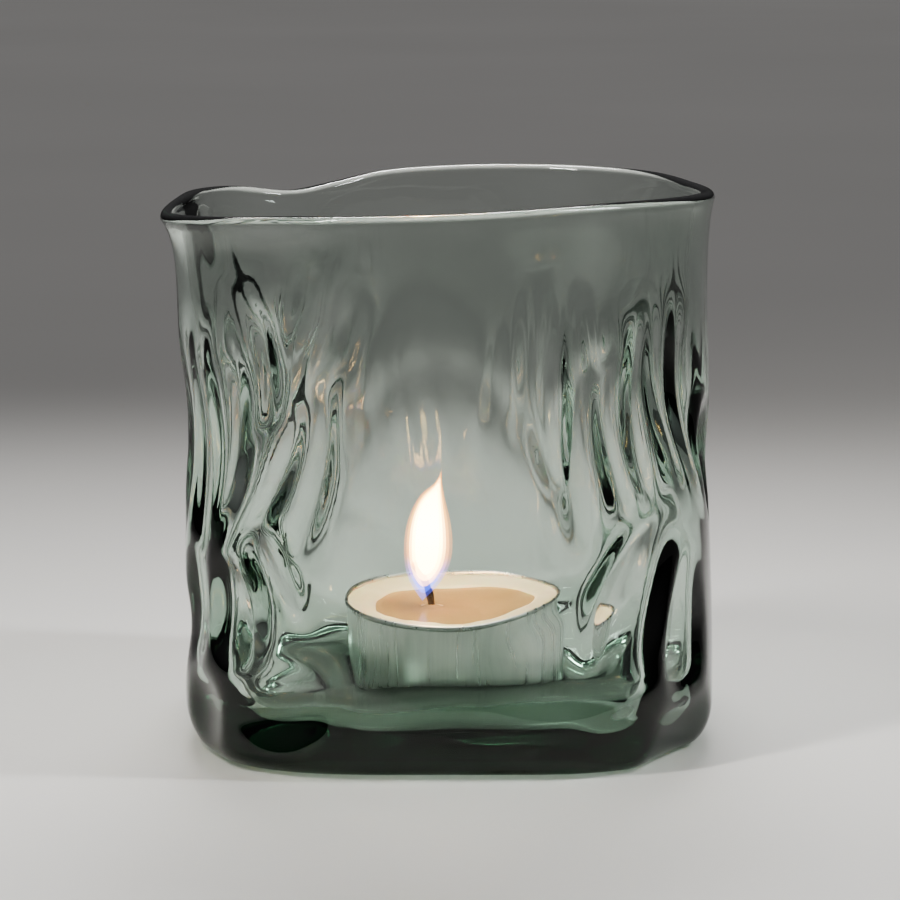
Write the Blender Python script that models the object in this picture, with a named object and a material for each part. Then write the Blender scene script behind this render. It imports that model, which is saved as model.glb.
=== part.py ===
"""Tealight holder: a crumpled glass tumbler with a heavy foot, and a tealight that stands in it.

Metres, +Z up. The origin is on the surface that the holder stands on, under the middle of the
glass; the front of the holder faces -Y. Run with: blender --background --python part.py
"""

import math

import bmesh
import bpy
import numpy as np

MM = 0.001
TAU = 2.0 * math.pi

# Glass: overall sizes
RIM_LEVEL = 87.2 * MM  # the rim's mean height; the outline below gives its rise and fall
FOOT_HALF_WIDTH = 42.4 * MM  # half the width of the rounded square that the glass stands on
FOOT_SQUARENESS = 3.6  # 2 is a circle, 4 and up a square with rounded corners
FOOT_SHIFT_X = 0.9 * MM  # the foot's middle lies a little to the right of the rim's
FOOT_ROUND = 4.6 * MM  # how far the foot draws in at the bottom
FOOT_ROUND_HEIGHT = 7.0 * MM
REST_OUTER = 0.94  # the flat it rests on, as a share of the foot's outline
PUNT_RADIUS = 16.0 * MM  # round hollow under the foot
PUNT_SLOPE = 1.6 * MM  # width of the hollow's sloping edge
PUNT_RISE = 1.0 * MM
FIRST_LEVEL = 1.0 * MM  # height of the wall's lowest ring

# Glass: wall and floor
FLOOR_Z = 5.0 * MM
FLOOR_FILLET_RISE = 9.0 * MM
FLOOR_FILLET_RUN = 11.0 * MM
FLOOR_FLAT_RADIUS = 22.0 * MM
WALL_LOW = 4.6 * MM  # wall at the top of the floor's fillet
WALL_HIGH = 2.3 * MM  # wall just under the rim
BEAD = 1.25 * MM  # radius of the fire-polished rim
INNER_RELIEF = 0.93  # the inner wall follows the outer dents this far

# The rim seen from above: angle from +X, distance from the axis, height
RIM_OUTLINE = (
    (-90.0, 43.0 * MM, 87.1 * MM),
    (-119.0, 45.2 * MM, 86.4 * MM),
    (-142.0, 48.6 * MM, 85.5 * MM),
    (-155.0, 48.4 * MM, 85.2 * MM),
    (-170.0, 43.4 * MM, 86.4 * MM),
    (171.0, 40.9 * MM, 86.3 * MM),
    (154.0, 39.2 * MM, 85.6 * MM),
    (139.0, 36.6 * MM, 84.3 * MM),
    (121.0, 37.0 * MM, 85.1 * MM),
    (107.0, 39.0 * MM, 86.3 * MM),
    (90.0, 41.0 * MM, 86.9 * MM),
    (71.0, 43.8 * MM, 87.1 * MM),
    (46.0, 45.6 * MM, 87.1 * MM),
    (14.0, 42.6 * MM, 87.0 * MM),
    (-4.0, 43.4 * MM, 87.0 * MM),
    (-22.0, 43.2 * MM, 87.4 * MM),
    (-52.0, 41.2 * MM, 87.7 * MM),
)

# How far the rim flares beyond the wall below it: angle, flare
RIM_FLARE = (
    (-90.0, 0.6 * MM),
    (-125.0, 1.0 * MM),
    (-152.0, 2.6 * MM),
    (170.0, 1.4 * MM),
    (130.0, 0.6 * MM),
    (60.0, 0.6 * MM),
    (0.0, 1.0 * MM),
    (-45.0, 0.6 * MM),
)
FLARE_FALL = 3.6 * MM  # height over which the flare dies away

# Dents pressed into the wall, each a smooth bowl:
# angle, height, half width, half height, depth (mm), lean and taper. Lean is the sideways travel
# per unit of height. Taper widens a bowl towards its bottom, as on a bell.
DENTS = (
    # front: the tall bell, and the shallow belly at its lower right
    (-90.0, 38.2, 19.0, 26.0, 5.4, -0.04, 0.30),
    (-68.0, 19.2, 15.0, 8.5, 2.6, 0.00, 0.00),
    # front left: a triangle under the rim, leaning folds, the arch and a facet on the foot
    (-127.0, 81.2, 9.5, 5.5, 1.9, 0.10, 0.00),
    (-124.5, 75.7, 4.8, 7.0, 2.1, -0.10, -0.30),
    (-115.5, 65.0, 3.6, 8.5, 1.4, 0.40, 0.00),
    (-129.5, 63.5, 2.6, 7.5, 1.5, -0.15, 0.00),
    (-119.5, 47.5, 3.5, 13.5, 2.6, 0.18, 0.00),
    (-127.1, 46.4, 3.8, 10.5, 2.9, 0.44, 0.00),
    (-136.5, 51.5, 3.4, 12.0, 2.4, 0.05, 0.00),
    (-144.5, 47.0, 3.7, 16.0, 2.7, -0.05, 0.00),
    (-153.0, 50.0, 3.9, 15.0, 2.1, 0.08, 0.00),
    (-126.0, 33.0, 2.2, 6.5, 1.5, -0.35, 0.00),
    (-133.6, 25.0, 3.9, 8.5, 3.6, 0.00, 0.30),
    (-147.0, 24.0, 5.4, 11.0, 2.6, 0.10, 0.20),
    (-124.0, 10.5, 7.4, 8.2, 2.8, 0.25, 0.00),
    (-143.0, 8.0, 5.6, 7.0, 2.0, 0.00, 0.00),
    # left side
    (-162.0, 51.2, 4.6, 14.0, 2.4, 0.12, 0.00),
    (-177.0, 43.2, 12.0, 19.0, 3.8, -0.10, 0.30),
    (-166.0, 19.2, 9.0, 9.0, 2.8, 0.10, 0.00),
    (172.0, 19.2, 10.0, 8.0, 2.4, 0.00, 0.00),
    (162.0, 60.2, 5.0, 14.0, 2.4, 0.20, 0.00),
    # back left
    (141.0, 69.2, 12.0, 13.0, 2.0, 0.00, 0.00),
    (152.0, 41.2, 4.8, 15.0, 2.8, -0.20, 0.00),
    (141.0, 39.2, 4.6, 14.0, 2.8, 0.10, 0.00),
    (130.0, 42.2, 4.6, 15.0, 2.9, 0.20, 0.00),
    (139.0, 18.2, 8.0, 8.5, 2.8, 0.00, 0.00),
    # back
    (94.0, 40.2, 19.0, 25.0, 5.0, 0.08, 0.30),
    (118.0, 52.2, 4.6, 14.0, 2.4, 0.10, 0.00),
    (112.0, 19.2, 8.0, 8.0, 2.2, 0.00, 0.00),
    (68.0, 52.2, 4.4, 15.0, 2.6, -0.20, 0.00),
    (58.0, 46.2, 4.4, 15.0, 2.9, 0.12, 0.00),
    (48.0, 52.2, 4.4, 13.0, 2.5, -0.05, 0.00),
    (53.0, 21.2, 8.5, 11.0, 3.2, 0.20, 0.20),
    (62.0, 77.2, 9.0, 7.0, 1.7, 0.00, 0.00),
    # right side
    (38.0, 48.2, 4.4, 16.0, 2.6, 0.15, 0.00),
    (28.0, 55.2, 4.2, 12.0, 2.2, 0.00, 0.00),
    (12.0, 51.2, 9.5, 16.0, 3.2, 0.10, 0.20),
    (20.0, 22.2, 10.0, 10.0, 3.0, -0.10, 0.00),
    (-13.0, 44.2, 8.0, 10.5, 4.6, -0.20, 0.00),
    # front right: upright folds, a facet that climbs to the right, and the cut corner of the foot
    (-28.5, 56.0, 4.2, 12.5, 2.2, -0.05, 0.00),
    (-36.5, 57.0, 3.8, 12.0, 2.3, -0.10, 0.00),
    (-44.5, 55.5, 3.5, 12.5, 2.7, 0.10, 0.00),
    (-52.0, 52.5, 3.4, 12.0, 2.7, -0.08, 0.00),
    (-59.5, 50.0, 3.4, 13.5, 3.0, 0.08, 0.00),
    (-67.0, 56.0, 3.0, 11.0, 2.3, -0.12, 0.00),
    (-57.0, 71.0, 4.6, 8.0, 1.1, 0.10, 0.00),
    (-54.0, 25.0, 6.2, 13.5, 3.8, 0.35, 0.00),
    (-40.0, 20.0, 5.6, 12.5, 2.6, 0.10, 0.00),
    (-54.5, 5.5, 6.0, 5.0, 1.5, 0.00, 0.00),
    (-40.0, 3.5, 9.0, 8.5, 3.2, 0.00, 0.00),
)
RIDGE_SHARPNESS = 1.9 / MM  # higher gives a crisper ridge where two dents meet
INNER_RIDGE_SHARPNESS = 1.1 / MM
DENT_ARC_RADIUS = 42.0 * MM  # turns an angle into a distance along the wall

# Tealight
TEALIGHT_X = 2.4 * MM  # it stands a little to the right of the middle
WICK_X = -3.6 * MM  # the wick has drifted to the left in the melted wax, from the cup's middle
GAP = 0.3 * MM  # clearance between neighbouring pieces
CUP_RADIUS = 19.0 * MM
CUP_HEIGHT = 13.6 * MM
CUP_WALL = 0.3 * MM
CUP_LIP = 0.45 * MM  # radius of the rolled edge
CUP_FOOT_RADIUS = 16.8 * MM
CUP_FOOT_RISE = 0.7 * MM
CUP_HEEL_RUN = 0.5 * MM  # the wall's bottom corner: a slope this wide and this high
CUP_HEEL_RISE = 1.2 * MM
CUP_PANEL_RADIUS = 11.5 * MM  # raised panel in the middle of the cup's bottom
CUP_PANEL_RISE = 0.5 * MM
CUP_PANEL_STEP = 1.0 * MM  # width of the slope round the panel
WAX_TOP = 12.6 * MM  # over the cup's bottom
WAX_CREEP = 0.25 * MM  # the wax stands this much higher where it clings to the cup
WAX_CREEP_RUN = 0.6 * MM
POOL_DEPTH = 1.6 * MM  # the burnt hollow in the wax
POOL_RADIUS = 13.6 * MM
POOL_SHORE = 1.2 * MM  # width of the hollow's steep edge
SUSTAINER_Z = CUP_PANEL_RISE + CUP_WALL + GAP  # its underside, and the wax's, over the cup's bottom
SUSTAINER_RADIUS = 6.2 * MM
SUSTAINER_THICKNESS = 0.3 * MM
SUSTAINER_NECK_HEIGHT = 3.2 * MM
SUSTAINER_NECK_WALL = 0.3 * MM
SUSTAINER_NECK_ROOT = 0.5 * MM  # the slope where the neck rises from the disc
WICK_RADIUS = 0.65 * MM
WICK_RISE = 9.6 * MM  # above the bottom of the pool
WICK_BEND = 3.0 * MM  # how far the burnt tip leans to the left

# Mesh fineness
GLASS_SEGMENTS = 88
CUP_SEGMENTS = 40
SUSTAINER_SEGMENTS = 20
WELD = 0.002 * MM  # joins the ends of a turned profile's sweep


def closed_curve(points, column, angles):
    """A smooth closed curve through (angle in degrees, value...) points, read at some angles."""
    rows = sorted((math.radians(p[0]) % TAU, p[column]) for p in points)
    knots = np.array([row[0] for row in rows])
    values = np.array([row[1] for row in rows])
    before = np.roll(values, 1)
    after = np.roll(values, -1)
    span_before = (knots - np.roll(knots, 1)) % TAU
    span_after = (np.roll(knots, -1) - knots) % TAU
    slopes = (
        (values - before) / span_before * span_after + (after - values) / span_after * span_before
    ) / (span_before + span_after)
    turned = np.asarray(angles) % TAU
    left = (np.searchsorted(knots, turned, side="right") - 1) % len(knots)
    right = (left + 1) % len(knots)
    span = span_after[left]
    t = ((turned - knots[left]) % TAU) / span
    return (
        (2 * t**3 - 3 * t**2 + 1) * values[left]
        + (t**3 - 2 * t**2 + t) * span * slopes[left]
        + (3 * t**2 - 2 * t**3) * values[right]
        + (t**3 - t**2) * span * slopes[right]
    )


def smooth_step(low, high, value):
    t = np.clip((value - low) / (high - low), 0.0, 1.0)
    return t * t * (3.0 - 2.0 * t)


def foot_outline(angles):
    """The foot's rounded square, as a distance from its middle."""
    power = FOOT_SQUARENESS
    spread = np.abs(np.cos(angles)) ** power + np.abs(np.sin(angles)) ** power
    return FOOT_HALF_WIDTH / spread ** (1.0 / power)


def relief(angles, heights, sharpness):
    """How far the dents press the wall in. Neighbouring dents meet in a ridge."""
    total = np.ones_like(heights)
    for angle, height, half_width, half_height, depth, lean, taper in DENTS:
        turn = (angles - math.radians(angle) + math.pi) % TAU - math.pi
        rise = heights - height * MM
        along = rise / (half_height * MM)
        width = half_width * MM * np.maximum(1.0 - taper * along, 0.3)
        across = (turn * DENT_ARC_RADIUS - lean * rise) / width
        bowl = depth * MM * np.maximum(1.0 - across**2 - along**2, -3.0)
        total += np.exp(sharpness * bowl)
    return np.log(total) / sharpness


def lift(angles, level):
    """Real height of a level on the wall: the rim's rise and fall fades out towards the foot."""
    rim = closed_curve(RIM_OUTLINE, 2, angles)
    return level + (rim - RIM_LEVEL) * smooth_step(0.45 * RIM_LEVEL, RIM_LEVEL, level)


def middle_x(level):
    return FOOT_SHIFT_X * (1.0 - smooth_step(0.0, RIM_LEVEL, level))


def wall_radius(angles, level):
    """The wall's outline at a level, before dents."""
    rim = closed_curve(RIM_OUTLINE, 1, angles) - closed_curve(RIM_FLARE, 1, angles)
    share = smooth_step(0.15 * RIM_LEVEL, 0.95 * RIM_LEVEL, level)
    return foot_outline(angles) * (1.0 - share) + rim * share


def outer_radius(angles, level):
    """The outer wall at a level: outline, dents, rounded foot and flared rim."""
    heights = lift(angles, level)
    radius = wall_radius(angles, level) - relief(angles, heights, RIDGE_SHARPNESS)
    if level < FOOT_ROUND_HEIGHT:
        drop = 1.0 - level / FOOT_ROUND_HEIGHT
        radius = radius - FOOT_ROUND * (1.0 - math.sqrt(1.0 - drop * drop))
    flare = closed_curve(RIM_FLARE, 1, angles)
    return radius + flare * math.exp(-(RIM_LEVEL - BEAD - level) / FLARE_FALL)


def inner_radius(angles, level):
    """The inner wall at a level: it follows the outer one, with softer ridges."""
    heights = lift(angles, level)
    high = smooth_step(FLOOR_Z + FLOOR_FILLET_RISE, 0.8 * RIM_LEVEL, level)
    wall = WALL_LOW + (WALL_HIGH - WALL_LOW) * high
    radius = wall_radius(angles, level) - wall
    radius = radius - INNER_RELIEF * relief(angles, heights, INNER_RIDGE_SHARPNESS)
    flare = closed_curve(RIM_FLARE, 1, angles)
    return radius + flare * math.exp(-(RIM_LEVEL - BEAD - level) / FLARE_FALL)


def ring(angles, radius, heights, shift_x):
    """Points of one ring of the glass."""
    x = shift_x + radius * np.cos(angles)
    y = radius * np.sin(angles)
    z = np.broadcast_to(heights, angles.shape)
    return np.stack((x, y, z), axis=1)


def glass_rings(segments, wall_steps, bead_steps, fillet_steps):
    """Every ring of the glass, from the middle of its underside, up, over the rim and down."""
    angles = np.arange(segments) * TAU / segments
    rings = []

    # underside: the round punt and the flat that it rests on
    foot = outer_radius(angles, 0.0)
    shift = middle_x(0.0)
    for radius, rise in (
        (0.5 * PUNT_RADIUS, PUNT_RISE),
        (PUNT_RADIUS - PUNT_SLOPE, PUNT_RISE),
        (PUNT_RADIUS, 0.0),
        (REST_OUTER * foot, 0.0),
    ):
        rings.append(ring(angles, np.broadcast_to(radius, angles.shape), rise, shift))

    # outer wall
    bead_foot = RIM_LEVEL - BEAD
    for step in range(wall_steps + 1):
        level = FIRST_LEVEL + (bead_foot - FIRST_LEVEL) * step / wall_steps
        rings.append(ring(angles, outer_radius(angles, level), lift(angles, level), middle_x(level)))

    # rim: a round bead from the outer wall over to the inner one
    outside = outer_radius(angles, bead_foot)
    inside = inner_radius(angles, bead_foot)
    centre = 0.5 * (outside + inside)
    half = 0.5 * (outside - inside)
    top = lift(angles, bead_foot)
    for step in range(1, bead_steps):
        turn = math.pi * step / bead_steps
        bulge = 1.0 + 0.12 * math.sin(turn)
        reach = half * math.cos(turn) * bulge
        rings.append(ring(angles, centre + reach, top + BEAD * math.sin(turn), 0.0))

    # inner wall, down to the floor's fillet
    fillet_top = FLOOR_Z + FLOOR_FILLET_RISE
    for step in range(wall_steps + 1):
        level = bead_foot + (fillet_top - bead_foot) * step / wall_steps
        rings.append(ring(angles, inner_radius(angles, level), lift(angles, level), middle_x(level)))

    # fillet and floor
    start = inner_radius(angles, fillet_top)
    shift = middle_x(fillet_top)
    for step in range(1, fillet_steps + 1):
        turn = 0.5 * math.pi * step / fillet_steps
        radius = start - FLOOR_FILLET_RUN * (1.0 - math.cos(turn))
        rings.append(ring(angles, radius, fillet_top - FLOOR_FILLET_RISE * math.sin(turn), shift))
    rings.append(ring(angles, np.full(segments, 0.5 * FLOOR_FLAT_RADIUS), FLOOR_Z, 0.0))
    return rings


def finished_mesh(name, mesh, sharp_angle):
    """Mesh data from a bmesh, smooth but for edges sharper than an angle in degrees."""
    data = bpy.data.meshes.new(name)
    mesh.to_mesh(data)
    mesh.free()
    data.shade_smooth()
    data.set_sharp_from_angle(angle=math.radians(sharp_angle))
    return data


def mesh_from_rings(name, rings):
    """Bridges a row of rings into a closed mesh and caps both ends."""
    mesh = bmesh.new()
    rows = [[mesh.verts.new(point) for point in points] for points in rings]
    for lower, upper in zip(rows, rows[1:]):
        count = len(lower)
        for i in range(count):
            j = (i + 1) % count
            mesh.faces.new((lower[i], lower[j], upper[j], upper[i]))
    mesh.faces.new(list(reversed(rows[0])))
    mesh.faces.new(rows[-1])
    bmesh.ops.recalc_face_normals(mesh, faces=mesh.faces)
    return finished_mesh(name, mesh, 50.0)


def turned(name, profile, segments):
    """A profile of (radius, height) points, spun round the Z axis.

    A profile that starts and ends on the axis makes a solid. Any other is closed into a loop
    first and makes a ring.
    """
    mesh = bmesh.new()
    points = [mesh.verts.new((radius, 0.0, height)) for radius, height in profile]
    edges = [mesh.edges.new(pair) for pair in zip(points, points[1:])]
    if profile[0][0] > 0.0:
        edges.append(mesh.edges.new((points[-1], points[0])))
    bmesh.ops.spin(
        mesh, geom=points + edges, cent=(0, 0, 0), axis=(0, 0, 1), angle=TAU, steps=segments
    )
    bmesh.ops.remove_doubles(mesh, verts=mesh.verts, dist=WELD)
    bmesh.ops.recalc_face_normals(mesh, faces=mesh.faces)
    return finished_mesh(name, mesh, 40.0)


def slide_core(data):
    """Moves a turned piece's middle, out to the sustainer's edge, over to where the wick stands."""
    core = SUSTAINER_RADIUS + 2.0 * GAP
    for vertex in data.vertices:
        distance = math.hypot(vertex.co.x, vertex.co.y)
        vertex.co.x += WICK_X * (1.0 - smooth_step(core, POOL_RADIUS, distance))
    return data


def material(name, colour, roughness, metallic, transmission=0.0):
    made = bpy.data.materials.new(name)
    made.use_nodes = True
    shader = made.node_tree.nodes["Principled BSDF"]
    shader.inputs["Base Color"].default_value = (*colour, 1.0)
    shader.inputs["Roughness"].default_value = roughness
    shader.inputs["Metallic"].default_value = metallic
    shader.inputs["Transmission Weight"].default_value = transmission
    return made


def add(name, data, look, parent=None, location=(0.0, 0.0, 0.0)):
    thing = bpy.data.objects.new(name, data)
    bpy.context.scene.collection.objects.link(thing)
    if data is not None:
        data.materials.append(look)
    thing.parent = parent
    thing.location = location
    return thing


def glass_holder():
    rings = glass_rings(GLASS_SEGMENTS, wall_steps=17, bead_steps=5, fillet_steps=4)
    corners = np.concatenate(rings)
    middle = 0.5 * (corners.min(axis=0) + corners.max(axis=0))
    middle[2] = 0.0
    return mesh_from_rings("glass_holder", [points - middle for points in rings])


def cup_profile():
    """Drawn aluminium cup: stepped bottom, thin wall, rolled edge. Heights over its bottom."""
    inner = CUP_RADIUS - CUP_WALL
    lip_middle = CUP_HEIGHT - CUP_LIP
    neck = CUP_HEIGHT - 2.0 * CUP_LIP
    heel = CUP_FOOT_RISE + CUP_HEEL_RISE
    outside = [
        (0.0, CUP_PANEL_RISE),
        (CUP_PANEL_RADIUS - CUP_PANEL_STEP, CUP_PANEL_RISE),
        (CUP_PANEL_RADIUS, 0.0),
        (CUP_FOOT_RADIUS, 0.0),
        (CUP_RADIUS - CUP_HEEL_RUN, CUP_FOOT_RISE),
        (CUP_RADIUS, heel),
        (CUP_RADIUS, neck),
    ]
    lip = []
    for step in range(6):
        turn = math.radians(-50.0 + 42.0 * step)
        reach = inner + 0.5 * CUP_LIP + CUP_LIP * math.cos(turn)
        lip.append((reach, lip_middle + CUP_LIP * math.sin(turn)))
    panel_edge = CUP_PANEL_RADIUS + 0.6 * CUP_WALL
    inside = [
        (inner, neck),
        (inner, heel),
        (inner - CUP_HEEL_RUN, CUP_FOOT_RISE + CUP_WALL),
        (CUP_FOOT_RADIUS - 0.3 * CUP_WALL, CUP_WALL),
        (panel_edge, CUP_WALL),
        (panel_edge - CUP_PANEL_STEP, CUP_PANEL_RISE + CUP_WALL),
        (0.0, CUP_PANEL_RISE + CUP_WALL),
    ]
    return outside + lip + inside


def sustainer_profile():
    """Stamped disc with a crimped neck that holds the wick."""
    bore = WICK_RADIUS + GAP
    neck = bore + SUSTAINER_NECK_WALL
    disc_top = SUSTAINER_Z + SUSTAINER_THICKNESS
    neck_top = SUSTAINER_Z + SUSTAINER_NECK_HEIGHT
    return [
        (bore, SUSTAINER_Z),
        (SUSTAINER_RADIUS, SUSTAINER_Z),
        (SUSTAINER_RADIUS, disc_top),
        (neck + SUSTAINER_NECK_ROOT, disc_top),
        (neck, disc_top + SUSTAINER_NECK_ROOT),
        (neck, neck_top),
        (bore, neck_top),
    ]


def wax_profile():
    """Wax cast into the cup, round the sustainer and the wick, with a shallow burnt pool."""
    bore = WICK_RADIUS + GAP
    neck = bore + SUSTAINER_NECK_WALL + GAP
    side = CUP_RADIUS - CUP_WALL - GAP
    hollow = SUSTAINER_Z + SUSTAINER_THICKNESS + GAP
    neck_top = SUSTAINER_Z + SUSTAINER_NECK_HEIGHT + GAP
    return [
        (SUSTAINER_RADIUS + GAP, SUSTAINER_Z),
        (CUP_FOOT_RADIUS - GAP, SUSTAINER_Z),
        (side - CUP_HEEL_RUN, CUP_FOOT_RISE + CUP_WALL + 2.0 * GAP),
        (side, CUP_FOOT_RISE + CUP_HEEL_RISE + 2.0 * GAP),
        (side, WAX_TOP + WAX_CREEP),
        (side - WAX_CREEP_RUN, WAX_TOP),
        (POOL_RADIUS, WAX_TOP - 0.1 * POOL_DEPTH),
        (POOL_RADIUS - POOL_SHORE, WAX_TOP - 0.7 * POOL_DEPTH),
        (0.6 * POOL_RADIUS, WAX_TOP - POOL_DEPTH),
        (bore, WAX_TOP - POOL_DEPTH),
        (bore, neck_top),
        (neck, neck_top),
        (neck, hollow + SUSTAINER_NECK_ROOT),
        (neck + SUSTAINER_NECK_ROOT, hollow),
        (SUSTAINER_RADIUS + GAP, hollow),
    ]


def wick_curve():
    """Braided wick: straight through the wax, then leaning over where it has burnt."""
    bottom = SUSTAINER_Z + SUSTAINER_THICKNESS
    wax = WAX_TOP - POOL_DEPTH
    curve = bpy.data.curves.new("wick", "CURVE")
    curve.dimensions = "3D"
    curve.bevel_depth = WICK_RADIUS
    curve.bevel_resolution = 2
    curve.use_fill_caps = True
    points = [(0.0, bottom), (0.0, 0.5 * (bottom + wax)), (0.0, wax)]
    for step in range(1, 6):
        part = step / 5
        points.append((-WICK_BEND * part * part, wax + WICK_RISE * (part - 0.12 * part**3)))
    line = curve.splines.new("POLY")
    line.points.add(len(points) - 1)
    for point, (x, z) in zip(line.points, points):
        point.co = (x, 0.0, z, 1.0)
    return curve


def build():
    for thing in list(bpy.data.objects):
        bpy.data.objects.remove(thing)

    glass = material("smoky_glass", (0.56, 0.62, 0.56), 0.03, 0.0, transmission=1.0)
    aluminium = material("aluminium", (0.80, 0.80, 0.78), 0.30, 1.0)
    wax = material("paraffin_wax", (0.93, 0.88, 0.76), 0.40, 0.0)
    tinplate = material("tinplate", (0.62, 0.61, 0.58), 0.35, 1.0)
    cotton = material("charred_cotton", (0.07, 0.06, 0.05), 0.95, 0.0)

    add("glass_holder", glass_holder(), glass)

    # the tealight lifts straight up along this empty's Z axis
    tealight = add("tealight_lift_axis", None, None, location=(TEALIGHT_X, 0.0, FLOOR_Z + GAP))
    add("tealight_cup", turned("tealight_cup", cup_profile(), CUP_SEGMENTS), aluminium, tealight)
    add("wax_fill", slide_core(turned("wax_fill", wax_profile(), CUP_SEGMENTS)), wax, tealight)
    wick_foot = (WICK_X, 0.0, 0.0)
    sustainer = turned("wick_sustainer", sustainer_profile(), SUSTAINER_SEGMENTS)
    add("wick_sustainer", sustainer, tinplate, tealight, wick_foot)
    add("wick", wick_curve(), cotton, tealight, wick_foot)


build()
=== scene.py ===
"""Looks of the tealight holder: fine glass, tealight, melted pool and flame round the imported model.

Metres, +Z up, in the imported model's frame. The front of the holder faces -Y.
"""

import math

import bmesh
import bpy
import numpy as np
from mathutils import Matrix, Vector


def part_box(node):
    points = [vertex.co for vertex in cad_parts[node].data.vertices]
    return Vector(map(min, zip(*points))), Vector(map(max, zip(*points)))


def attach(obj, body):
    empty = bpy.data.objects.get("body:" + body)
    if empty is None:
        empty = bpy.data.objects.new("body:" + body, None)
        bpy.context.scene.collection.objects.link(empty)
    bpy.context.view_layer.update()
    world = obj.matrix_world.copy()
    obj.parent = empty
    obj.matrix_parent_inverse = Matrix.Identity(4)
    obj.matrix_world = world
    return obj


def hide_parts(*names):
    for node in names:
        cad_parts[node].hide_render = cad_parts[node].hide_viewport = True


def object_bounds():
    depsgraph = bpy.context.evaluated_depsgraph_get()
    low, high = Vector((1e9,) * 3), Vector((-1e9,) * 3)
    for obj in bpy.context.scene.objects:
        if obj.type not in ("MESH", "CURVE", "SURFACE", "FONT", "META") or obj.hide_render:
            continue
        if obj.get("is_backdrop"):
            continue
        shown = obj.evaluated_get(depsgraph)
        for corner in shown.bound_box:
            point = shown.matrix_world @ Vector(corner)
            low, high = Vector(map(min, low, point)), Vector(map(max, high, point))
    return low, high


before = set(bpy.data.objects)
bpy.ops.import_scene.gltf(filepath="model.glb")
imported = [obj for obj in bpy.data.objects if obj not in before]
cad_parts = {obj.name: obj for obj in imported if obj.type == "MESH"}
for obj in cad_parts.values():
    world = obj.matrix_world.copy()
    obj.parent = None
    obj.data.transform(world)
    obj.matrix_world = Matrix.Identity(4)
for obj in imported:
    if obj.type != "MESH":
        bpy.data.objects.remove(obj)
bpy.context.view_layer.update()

MM = 0.001
TAU = 2.0 * math.pi

# ---------------------------------------------------------------------------------------------
# Glass: the same shape as the CAD model's, at a finer mesh
# ---------------------------------------------------------------------------------------------

RIM_LEVEL = 87.2 * MM  # the rim's mean height; the outline below gives its rise and fall
FOOT_HALF_WIDTH = 42.4 * MM  # half the width of the rounded square that the glass stands on
FOOT_SQUARENESS = 3.6  # 2 is a circle, 4 and up a square with rounded corners
FOOT_SHIFT_X = 0.9 * MM  # the foot's middle lies a little to the right of the rim's
FOOT_ROUND = 4.6 * MM  # how far the foot draws in at the bottom
FOOT_ROUND_HEIGHT = 7.0 * MM
REST_OUTER = 0.94  # the flat it rests on, as a share of the foot's outline
PUNT_RADIUS = 16.0 * MM  # round hollow under the foot
PUNT_SLOPE = 1.6 * MM  # width of the hollow's sloping edge
PUNT_RISE = 1.0 * MM

FLOOR_Z = 5.0 * MM
FLOOR_FILLET_RISE = 9.0 * MM
FLOOR_FILLET_RUN = 11.0 * MM
FILLET_TOP = FLOOR_Z + FLOOR_FILLET_RISE
FLOOR_FLAT_RADIUS = 22.0 * MM
WALL_LOW = 4.6 * MM  # wall at the top of the floor's fillet
WALL_HIGH = 2.3 * MM  # wall just under the rim
WALL_HIGH_FROM = 0.8 * RIM_LEVEL  # the wall is at its thinnest from here up
BEAD = 1.25 * MM  # radius of the fire-polished rim
BEAD_FULLNESS = 0.12  # the bead bulges sideways by up to this share
INNER_RELIEF = 0.93  # the inner wall follows the outer dents this far
INNER_FINE_RELIEF = 0.6  # and the fine relief this far
INNER_FINE_TURN = 0.02  # radians between the inner and the outer fine relief

# The foot's outline turns into the rim's between these levels
OUTLINE_BLEND = (0.15 * RIM_LEVEL, 0.95 * RIM_LEVEL)
RIM_SWING_FROM = 0.45 * RIM_LEVEL  # the rim's rise and fall begins to show here

# The rim seen from above: angle from +X, distance from the axis, height
RIM_OUTLINE = (
    (-90.0, 43.0 * MM, 87.1 * MM),
    (-119.0, 45.2 * MM, 86.4 * MM),
    (-142.0, 48.6 * MM, 85.5 * MM),
    (-155.0, 48.4 * MM, 85.2 * MM),
    (-170.0, 43.4 * MM, 86.4 * MM),
    (171.0, 40.9 * MM, 86.3 * MM),
    (154.0, 39.2 * MM, 85.6 * MM),
    (139.0, 36.6 * MM, 84.3 * MM),
    (121.0, 37.0 * MM, 85.1 * MM),
    (107.0, 39.0 * MM, 86.3 * MM),
    (90.0, 41.0 * MM, 86.9 * MM),
    (71.0, 43.8 * MM, 87.1 * MM),
    (46.0, 45.6 * MM, 87.1 * MM),
    (14.0, 42.6 * MM, 87.0 * MM),
    (-4.0, 43.4 * MM, 87.0 * MM),
    (-22.0, 43.2 * MM, 87.4 * MM),
    (-52.0, 41.2 * MM, 87.7 * MM),
)

# How far the rim flares beyond the wall below it: angle, flare
RIM_FLARE = (
    (-90.0, 0.6 * MM),
    (-125.0, 1.0 * MM),
    (-152.0, 2.6 * MM),
    (170.0, 1.4 * MM),
    (130.0, 0.6 * MM),
    (60.0, 0.6 * MM),
    (0.0, 1.0 * MM),
    (-45.0, 0.6 * MM),
)
FLARE_FALL = 3.6 * MM  # height over which the flare dies away

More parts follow.
